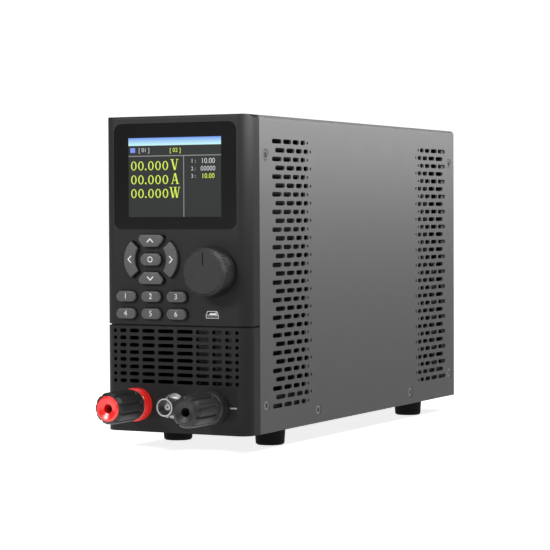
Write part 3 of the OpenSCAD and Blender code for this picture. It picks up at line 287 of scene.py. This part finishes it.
def keep(bm, name, look, body, standsFor=(), crease=35):
    bmesh.ops.recalc_face_normals(bm, faces=bm.faces)
    mesh = bpy.data.meshes.new(name)
    bm.to_mesh(mesh)
    bm.free()
    mesh.materials.append(look)
    mesh.shade_smooth()
    mesh.set_sharp_from_angle(angle=radians(crease))
    piece = bpy.data.objects.new(name, mesh)
    scene.collection.objects.link(piece)
    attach(piece, body)
    if standsFor:
        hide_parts(*standsFor)


def fill(bm, points):
    return bm.faces.new([bm.verts.new((x, y, 0)) for x, y in points])


def flatShape(points, thick=inkThick):
    bm = bmesh.new()
    thicken(bm, [fill(bm, points)], thick)
    return bm


def box(wide, high, foot=0.0):                   # corners of a box about x = 0, standing on its foot
    return [(-wide / 2, foot), (wide / 2, foot), (wide / 2, foot + high), (-wide / 2, foot + high)]


def thicken(bm, faces, thick):
    grown = bmesh.ops.extrude_face_region(bm, geom=faces)["geom"]
    lifted = [g for g in grown if isinstance(g, bmesh.types.BMVert)]
    bmesh.ops.translate(bm, vec=(0, 0, thick), verts=lifted)


def lettering(text, high, thick=inkThick):
    curve = bpy.data.curves.new("lettering", "FONT")
    curve.body = text
    curve.size = high / 0.7                      # the built-in font's figures are 0.7 of its size
    curve.align_x = "CENTER"
    curve.align_y = "CENTER"
    curve.extrude = thick / 2
    source = bpy.data.objects.new("lettering", curve)
    scene.collection.objects.link(source)
    bpy.context.view_layer.update()
    drawn = source.evaluated_get(bpy.context.evaluated_depsgraph_get())
    made = bpy.data.meshes.new_from_object(drawn)
    bm = bmesh.new()
    bm.from_mesh(made)
    bmesh.ops.remove_doubles(bm, verts=bm.verts, dist=mergeGap)
    bpy.data.objects.remove(source)
    bpy.data.curves.remove(curve)
    bpy.data.meshes.remove(made)
    return bm


# keys: outlines about the middle of the pad or pill, how far they stand out, and their rounded edge
keys = {"proud": 2.4, "root": 3.0, "edge": 1.0, "steps": 5,
        "upIn": 6.65, "upOut": 13.15, "upWide": 8.3, "upRound": 2.3, "upInRound": 0.6,
        "sideOut": 16.4, "sideRound": 12.7, "sideIn": 9.8, "sideCut": 40, "sideLift": -0.5, "sideTip": 0.4,
        "okWide": 12.8, "okHigh": 6.7, "pillWide": 12.2, "pillHigh": 5.9, "pills": 6,
        "facets": 64, "arc": 24}
padX, padZ = middle("key_ok")
pillSpots = {f"key_{i + 1}": middle(f"key_{i + 1}") for i in range(keys["pills"])}


def drawStadium(bm, wide, high):
    ring = bmesh.ops.create_circle(bm, cap_ends=True, segments=keys["facets"], radius=high / 2)["verts"]
    half = Matrix.Rotation(pi / keys["facets"], 3, "Z")  # half a facet, so that no vertex is in the middle
    bmesh.ops.rotate(bm, cent=(0, 0, 0), matrix=half, verts=ring)
    for side in (-1, 1):
        end = [v for v in ring if v.co.x * side > 0]
        bmesh.ops.translate(bm, vec=(side * (wide - high) / 2, 0, 0), verts=end)


def roundedOff(points, radii, steps=8):          # an outline's corners replaced by arcs
    made = []
    for i, (corner, radius) in enumerate(zip(points, radii)):
        corner = Vector(corner)
        toward = [(Vector(points[(i + k) % len(points)]) - corner).normalized() for k in (-1, 1)]
        inward = (toward[0] + toward[1]).normalized()
        half = toward[0].angle(toward[1]) / 2
        centre = corner + inward * radius / sin(half)
        first = toward[0] * radius / tan(half) + corner - centre
        turn = first.angle_signed(toward[1] * radius / tan(half) + corner - centre)
        made += [centre + Matrix.Rotation(-turn * k / steps, 2) @ first for k in range(steps + 1)]
    return made


def drawUpKey(bm):
    half, low, high = keys["upWide"] / 2, keys["upIn"], keys["upOut"]
    wide = half + high - low
    outline = roundedOff([(-half, low), (half, low), (wide, high), (-wide, high)],
                         [keys["upInRound"]] * 2 + [keys["upRound"]] * 2)
    fill(bm, outline)


def crossing(centre, radius):                    # where a side key's slanted end meets one of its arcs
    slope, lift = tan(radians(keys["sideCut"])), keys["sideLift"]
    a, b = 1 + slope ** 2, lift * slope - centre
    x = (-b + sqrt(b * b - a * (centre ** 2 + lift ** 2 - radius ** 2))) / a
    return atan2(lift + slope * x, x - centre)


def drawSideKey(bm):
    hub = keys["sideOut"] - keys["sideRound"]
    ends = []
    for centre, radius in ((hub, keys["sideRound"]), (0, keys["sideIn"])):
        sweep = crossing(centre, radius)
        first = bm.verts.new((centre + radius * cos(sweep), -radius * sin(sweep), 0))
        arc = bmesh.ops.spin(bm, geom=[first], cent=(centre, 0, 0), axis=(0, 0, 1), angle=2 * sweep,
                             steps=keys["arc"])
        last = [g for g in arc["geom_last"] if isinstance(g, bmesh.types.BMVert)][0]
        ends.append((first, last))
    for outer, inner in zip(*ends):
        bm.edges.new((outer, inner))
    bmesh.ops.contextual_create(bm, geom=bm.edges[:])
    tips = [v for pair in ends for v in pair]
    bmesh.ops.bevel(bm, geom=tips, offset=keys["sideTip"], offset_type="OFFSET", affect="VERTICES",
                    segments=keys["steps"], profile=0.5, material=-1)


def raiseKey(bm):
    face = bm.faces[:]
    bmesh.ops.translate(bm, vec=(0, 0, -keys["root"]), verts=bm.verts)
    thicken(bm, face, keys["root"] + keys["proud"])
    brim = [e for e in bm.edges if all(v.co.z > keys["proud"] / 2 for v in e.verts)]
    bmesh.ops.bevel(bm, geom=brim, offset=keys["edge"], offset_type="OFFSET", affect="EDGES",
                    segments=keys["steps"], profile=0.5, material=-1, clamp_overlap=True)


def spinFlat(bm, degrees):
    turn = Matrix.Rotation(radians(degrees), 3, "Z")
    bmesh.ops.rotate(bm, cent=(0, 0, 0), matrix=turn, verts=bm.verts)


def makeKey(name, draw, x, height, spin=0.0):
    bm = bmesh.new()
    draw(bm)
    raiseKey(bm)
    spinFlat(bm, spin)
    standUp(bm, x, height)
    keep(bm, name + "_cap", finish["keySatin"], name, (name,), crease=30)


for name, draw, spin in (("key_up", drawUpKey, 0), ("key_down", drawUpKey, 180),
                         ("key_right", drawSideKey, 0), ("key_left", drawSideKey, 180),
                         ("key_ok", lambda bm: drawStadium(bm, keys["okWide"], keys["okHigh"]), 0)):
    makeKey(name, draw, padX, padZ, spin)
for name, (x, height) in pillSpots.items():
    makeKey(name, lambda bm: drawStadium(bm, keys["pillWide"], keys["pillHigh"]), x, height)
print("keys made")

# printed marks: arrows on the pad, a ring on the middle key, plain numbers on the pills, polarity strokes
marks = {"armLong": 2.9, "armWide": 0.55, "upAt": 10.3, "sideAt": 13.0, "ringOut": 1.55, "ringIn": 1.1,
         "ringFacets": 40, "figure": 2.9, "lift": 0.01,
         "strokeLong": 4.2, "strokeWide": 0.75, "strokeX": 34.9, "strokeZ": 14.5}


def drawArrow():
    arm, wide = marks["armLong"] / sqrt(2), marks["armWide"] / sqrt(2)
    return flatShape([(-arm, -arm / 2), (0, arm / 2), (arm, -arm / 2), (arm - wide, -arm / 2 - wide),
                      (0, arm / 2 - 2 * wide), (wide - arm, -arm / 2 - wide)])


keyTop = keys["proud"] + marks["lift"]
for name, spin, dx, dz in (("key_up", 0, 0, marks["upAt"]), ("key_down", 180, 0, -marks["upAt"]),
                           ("key_left", 90, -marks["sideAt"], 0), ("key_right", -90, marks["sideAt"], 0)):
    bm = drawArrow()
    spinFlat(bm, spin)
    standUp(bm, padX + dx, padZ + dz, keyTop)
    keep(bm, name + "_arrow", finish["printPale"], name)


def drawRing(outer, inner, thick=inkThick, segments=marks["ringFacets"]):
    bm = bmesh.new()
    edges = []
    for wide, high in (outer, inner):
        ring = bmesh.ops.create_circle(bm, segments=segments, radius=1)["verts"]
        bmesh.ops.scale(bm, vec=(wide, high, 1), verts=ring)
        edges += list({e for v in ring for e in v.link_edges})
    faces = bmesh.ops.bridge_loops(bm, edges=edges)["faces"]
    thicken(bm, faces, thick)
    return bm


bm = drawRing((marks["ringOut"],) * 2, (marks["ringIn"],) * 2)
standUp(bm, padX, padZ, keyTop)
keep(bm, "key_ok_ring", finish["printPale"], "key_ok")
for name, (x, height) in pillSpots.items():
    bm = lettering(name[-1], marks["figure"])
    standUp(bm, x, height, keyTop)
    keep(bm, name + "_figure", finish["printPale"], name)
half, thin = marks["strokeLong"] / 2, marks["strokeWide"] / 2
for name, shape, side in (("minusMark", box(2 * half, 2 * thin, -thin), 1),
                          ("plusMark", [(-half, -thin), (-thin, -thin), (-thin, -half), (thin, -half),
                                        (thin, -thin), (half, -thin), (half, thin), (thin, thin),
                                        (thin, half), (-thin, half), (-thin, thin), (-half, thin)], -1)):
    bm = flatShape(shape)
    standUp(bm, side * marks["strokeX"], marks["strokeZ"], marks["lift"])
    keep(bm, name, finish["printSoft"], "root")
print("marks printed")

# dial: half profile as radius and reach, fine ribs beyond a radius and a reach, and a dark pointer
dial = {"x": 23.4, "z": 85.8, "ribs": 80, "ribColumns": 4, "ribDeep": 0.22, "ribFrom": (11.4, 6.5),
        "profile": [(0, 9.4), (3.02, 9.4), (3.02, 3.6), (6, 3.6), (6, 8.4), (9.8, 8.4), (11, 0.6),
                    (13.2, 0.6), (13.4, 0.8), (13.4, 1.8), (13.1, 6.4), (13.05, 7.0), (12.9, 9.7),
                    (12.75, 10.0), (11.45, 11.2), (11.25, 11.4), (10.9, 11.4), (0, 11.4)],
        "pointer": (0.6, 6.6, 3.6), "pointerThick": 0.02, "pointerIn": 0.005}


def turnProfile(profile, steps, closed=False):
    bm = bmesh.new()
    line = [bm.verts.new((r, 0, h)) for r, h in profile]
    pairs = list(zip(line, line[1:] + line[:1] if closed else line[1:]))
    edges = [bm.edges.new(pair) for pair in pairs]
    bmesh.ops.spin(bm, geom=line + edges, cent=(0, 0, 0), axis=(0, 0, 1), angle=2 * pi, steps=steps,
                   use_merge=True)
    bmesh.ops.remove_doubles(bm, verts=bm.verts, dist=mergeGap)
    return bm


def makeDial():
    columns = dial["ribs"] * dial["ribColumns"]
    bm = turnProfile(dial["profile"], columns)
    fromRadius, fromReach = dial["ribFrom"]
    for v in bm.verts:
        radius = v.co.xy.length
        column = round(atan2(v.co.y, v.co.x) / (2 * pi) * columns) % dial["ribColumns"]
        if radius > fromRadius and v.co.z > fromReach and column < dial["ribColumns"] / 2:
            v.co.xy *= 1 - dial["ribDeep"] / radius
    standUp(bm, dial["x"], dial["z"])
    keep(bm, "dial_cap", finish["dialSatin"], "dial", ("dial",), crease=40)
    bm = flatShape(box(*dial["pointer"]), dial["pointerThick"])
    standUp(bm, dial["x"], dial["z"], dial["profile"][-1][1] - dial["pointerIn"])
    keep(bm, "dial_pointer", finish["inkBlack"], "dial")


makeDial()
print("dial made")

# binding post caps: half profile as radius and length from the washer, flutes beyond a radius and a length;
# a flute's half width is in columns
caps = {"seat": 7.3, "flutes": 10, "columns": 16, "fluteDeep": 0.9, "fluteHalf": 2.6,
        "fluteFrom": (7.2, 2.4),
        "profile": [(3.25, 0), (7.3, 0), (8.5, 1.2), (8.5, 2.2), (8.5, 2.9), (8.5, 20.9), (8.35, 21.4),
                    (7.35, 22.7), (7.1, 22.9), (6.77, 22.9), (6.77, 16.9), (3.25, 16.9)]}


def makeCap(name):
    bm = turnProfile(caps["profile"], caps["flutes"] * caps["columns"], closed=True)
    fromRadius, fromLength = caps["fluteFrom"]
    for v in bm.verts:
        radius = v.co.xy.length
        turn = atan2(v.co.y, v.co.x) / (2 * pi) * caps["flutes"] - 0.5
        off = abs(turn - round(turn)) * caps["columns"] / caps["fluteHalf"]  # 1 at a flute's edge
        if radius > fromRadius and v.co.z > fromLength and off < 1:
            v.co.xy *= 1 - caps["fluteDeep"] * (1 - off ** 2) / radius
    solid = name + "_post_cap"
    standUp(bm, *middle(solid), caps["seat"])
    keep(bm, name + "_post_grip", finish["blackMoulded"], name + "_cap", (solid,),
         crease=38)


makeCap("red")
makeCap("black")
print("post caps made")

# screen: lit picture on the window, heights above the case underside in mm
screen = {"wide": 56.5, "high": 42.0, "z": 135.5, "in": 0.10, "figuresOut": 0.035,
          "bar": 152.4, "rule": 146.85, "ruleX": 5.7, "ruleWide": 0.5, "tile": (-27.1, -24.1, 148.7, 151.2),
          "ground": (0.0235, 0.0270, 0.0260), "barTop": (0.165, 0.330, 0.875), "barLow": (0.60, 0.98, 0.96),
          "ruleTint": (0.26, 0.26, 0.26), "tileTint": (0.20, 0.31, 0.87),
          "yellow": (0.72, 0.93, 0.10), "white": (0.62, 0.64, 0.66),
          "pixel": 0.18, "pixelEdge": 0.85, "pixelFade": 0.12}


def screenPaint(place):
    x, z = along(place, "X"), along(place, "Z") - case["baseZ"]
    top = screen["z"] + screen["high"] / 2
    fall = (top - z) / (top - screen["bar"])
    level = abs(z - screen["rule"]) < screen["ruleWide"] / 2
    upright = (abs(x - screen["ruleX"]) < screen["ruleWide"] / 2) * (z < screen["rule"])
    left, right, low, high = screen["tile"]
    tile = (x > left) * (x < right) * (z > low) * (z < high)
    ruled = tint(level + upright - level * upright, screen["ground"], screen["ruleTint"])
    tiled = tint(tile, ruled, screen["tileTint"])
    bar = tint(fall, screen["barTop"], screen["barLow"])
    return {"Emission Color": tint(z > screen["bar"], tiled, bar)}


def litPaint(colour):
    def paint(place):
        cell = place.math("FRACT", along(place, "X") / screen["pixel"])  # faint columns of picture cells
        fade = (cell > screen["pixelEdge"]) * screen["pixelFade"]
        return {"Emission Color": tint(fade, colour, grey(0.0))}
    return paint


unlit = {"Base Color": (*grey(0.004), 1), "Roughness": 0.3, "Specular IOR Level": 0.2,
         "Emission Strength": 1}
picture = makeFinish("screenPicture", unlit, screenPaint)
lit = {name: makeFinish(name + "Figures", unlit, litPaint(screen[name])) for name in ("yellow", "white")}


def onScreen(bm, name, look, x, height, out=screen["figuresOut"]):
    standUp(bm, x, height, out - screen["in"])
    keep(bm, name, look, "root", ())


panel = box(screen["wide"], screen["high"], -screen["high"] / 2)
onScreen(flatShape(panel), "screenPanel", picture, 0, screen["z"], 0.0)

# readings: three rows of noughts with a point and a unit, sizes in mm
readings = {"rows": (139.3, 131.9, 124.6), "digitX": (-25.0, -20.6, -14.4, -10.0, -5.5), "pointX": -17.6,
            "outer": (1.72, 2.4), "inner": (1.0, 2.016), "facets": 32, "pointRound": 0.5, "pointFacets": 16,
            "unitX": 0.3, "unitHigh": 5.7, "serif": (0.5, 0.3),
            "crossbar": [(-1.0, 1.8), (0.95, 1.8), (0.85, 2.15), (-0.9, 2.15)],
            "strokes": {"V": [(-1.7, -0.05, 0.95), (1.5, 0.25, 0.42)],  # top x, foot x and width of each
                        "A": [(-0.1, -1.6, 0.42), (0.15, 1.65, 0.95)],
                        "W": [(-2.5, -1.25, 0.85), (0.1, -0.95, 0.36),
                              (0.1, 1.15, 0.85), (2.6, 1.45, 0.36)]}}


def drawUnit(letter):
    high, (serif, thin) = readings["unitHigh"], readings["serif"]
    bm = bmesh.new()
    for topX, footX, wide in readings["strokes"][letter]:
        half = wide / 2
        fill(bm, [(footX - half, 0), (footX + half, 0), (topX + half, high), (topX - half, high)])
        x, foot = (footX, 0) if letter == "A" else (topX, high - thin)
        for left in (x - half - serif, x + half):
            fill(bm, [(left + dx, foot + dy) for dx, dy in ((0, 0), (serif, 0), (serif, thin), (0, thin))])
    if letter == "A":
        fill(bm, readings["crossbar"])
    thicken(bm, bm.faces[:], litThick)
    return bm


def drawPoint():
    bm = bmesh.new()
    bmesh.ops.create_circle(bm, cap_ends=True, segments=readings["pointFacets"],
                            radius=readings["pointRound"])
    thicken(bm, bm.faces[:], litThick)
    return bm


for row, (foot, unit) in enumerate(zip(readings["rows"], readings["strokes"])):
    for column, x in enumerate(readings["digitX"]):
        bm = drawRing(readings["outer"], readings["inner"], litThick, readings["facets"])
        onScreen(bm, f"figure_{row}_{column}", lit["yellow"], x, foot + readings["outer"][1])
    onScreen(drawPoint(), f"point_{row}", lit["yellow"], readings["pointX"], foot + readings["pointRound"])
    onScreen(drawUnit(unit), f"unit_{unit}", lit["yellow"], readings["unitX"], foot)

# small figures: text, x and height of the middle, size in mm, colour
smallFigures = {"setFigure": ("10.00", 20.4, 143.8, 2.7, "white"),
                "timeFigure": ("00000", 20.4, 139.8, 2.5, "white"),
                "limitFigure": ("10.00", 20.4, 135.9, 2.5, "yellow"),
                "setRow": ("1 :", 11.6, 143.8, 2.2, "white"),
                "timeRow": ("2 :", 11.6, 139.8, 2.0, "white"),
                "limitRow": ("3 :", 11.6, 135.9, 2.0, "white"),
                "modeFigure": ("[ 01 ]", -18.6, 149.9, 2.2, "white"),
                "pageFigure": ("[ 02 ]", 0.6, 149.7, 2.2, "yellow")}
for name, (text, x, height, high, look) in smallFigures.items():
    onScreen(lettering(text, high, litThick), name, lit[look], x, height)
print("screen lit")

# rear switch marks: a stroke for on and a ring for off, tilted with the rocker
rocker = {"x": -20.0, "z": 128.0, "turn": -8.0, "pivotIn": 1.0, "face": 3.2, "at": 3.3, "slope": 13.6,
          "strokeWide": 0.5, "strokeHigh": 2.6, "ringOut": 1.35, "ringIn": 0.95, "lift": 0.02}


def onRocker(bm, name, side):
    pivot = Vector((rocker["x"], case["wallY"] - rocker["pivotIn"], case["baseZ"] + rocker["z"])) * mm
    spot = Vector((0, rocker["face"] + rocker["lift"], side * rocker["at"])) * mm
    rest = Matrix.Rotation(radians(rocker["turn"]), 4, "X")
    lean = Matrix.Rotation(radians(-90 - side * rocker["slope"]), 4, "X")
    place = Matrix.Translation(pivot) @ rest @ Matrix.Translation(spot) @ lean @ Matrix.Scale(mm, 4)
    bmesh.ops.transform(bm, matrix=place, verts=bm.verts)
    keep(bm, name, finish["printPale"], "power_rocker")


stroke = box(rocker["strokeWide"], rocker["strokeHigh"], -rocker["strokeHigh"] / 2)
onRocker(flatShape(stroke), "onStroke", 1)
onRocker(drawRing((rocker["ringOut"],) * 2, (rocker["ringIn"],) * 2), "offRing", -1)
print("switch marked")

# studio: pale floor, overhead sun, long strip over the right side, soft front fill; places in mm, floor in m
studio = {"floor": 8.0, "floorFacets": 96, "floorTint": (grey(0.80), grey(0.84)), "floorPatch": 4,
          "glow": 0.84, "sun": 0.8, "sunSpread": 60, "ambient": 0.06, "backdrop": 1.06,
          "strip": {"spot": (160, 20, 215), "aim": (44, 20, 180), "size": (640, 30),
                    "watts": 0.9, "spread": 110},
          "front": {"spot": (-420, -900, 620), "aim": (0, -120, 260), "size": (500, 300),
                    "watts": 1.0, "spread": 50}}


def floorPaint(place):
    return {"Base Color": tint(noise(place, studio["floorPatch"]), *studio["floorTint"])}


def makeFloor():
    bm = bmesh.new()
    bmesh.ops.create_circle(bm, cap_ends=True, segments=studio["floorFacets"], radius=studio["floor"])
    mesh = bpy.data.meshes.new("studioFloor")
    bm.to_mesh(mesh)
    bm.free()
    fixed = {"Roughness": 0.9, "Specular IOR Level": 0.1, "Emission Color": (1, 1, 1, 1),
             "Emission Strength": studio["glow"]}
    mesh.materials.append(makeFinish("paleFloor", fixed, floorPaint))
    floor = bpy.data.objects.new("studioFloor", mesh)
    scene.collection.objects.link(floor)


def hangLight(name):
    spec = studio[name]
    lamp = bpy.data.lights.new(name + "Light", "AREA")
    lamp.shape = "RECTANGLE"
    lamp.size, lamp.size_y = (s * mm for s in spec["size"])
    lamp.energy, lamp.spread = spec["watts"], radians(spec["spread"])
    light = bpy.data.objects.new(name + "Light", lamp)
    scene.collection.objects.link(light)
    spot, aim = Vector(spec["spot"]) * mm, Vector(spec["aim"]) * mm
    light.rotation_euler = (aim - spot).to_track_quat("-Z", "Y").to_euler()
    light.location = spot
    light.visible_camera = False


def lightStudio():
    sun = bpy.data.lights.new("overheadLight", "SUN")
    sun.energy, sun.angle = studio["sun"], radians(studio["sunSpread"])
    scene.collection.objects.link(bpy.data.objects.new("overheadLight", sun))
    for name in ("strip", "front"):
        hangLight(name)
    sky = bpy.data.worlds.new("studioSky")
    sky.use_nodes = True
    tree = sky.node_tree
    seen = Wire(tree).add("ShaderNodeLightPath", out="Is Camera Ray")  # pale backdrop, softer fill
    strength = seen * (studio["backdrop"] - studio["ambient"]) + studio["ambient"]
    tree.links.new(strength.socket, tree.nodes["Background"].inputs["Strength"])
    tree.nodes["Background"].inputs["Color"].default_value = (1, 1, 1, 1)
    scene.world = sky
    scene.view_settings.view_transform = "Standard"


makeFloor()
lightStudio()
print("studio lit")
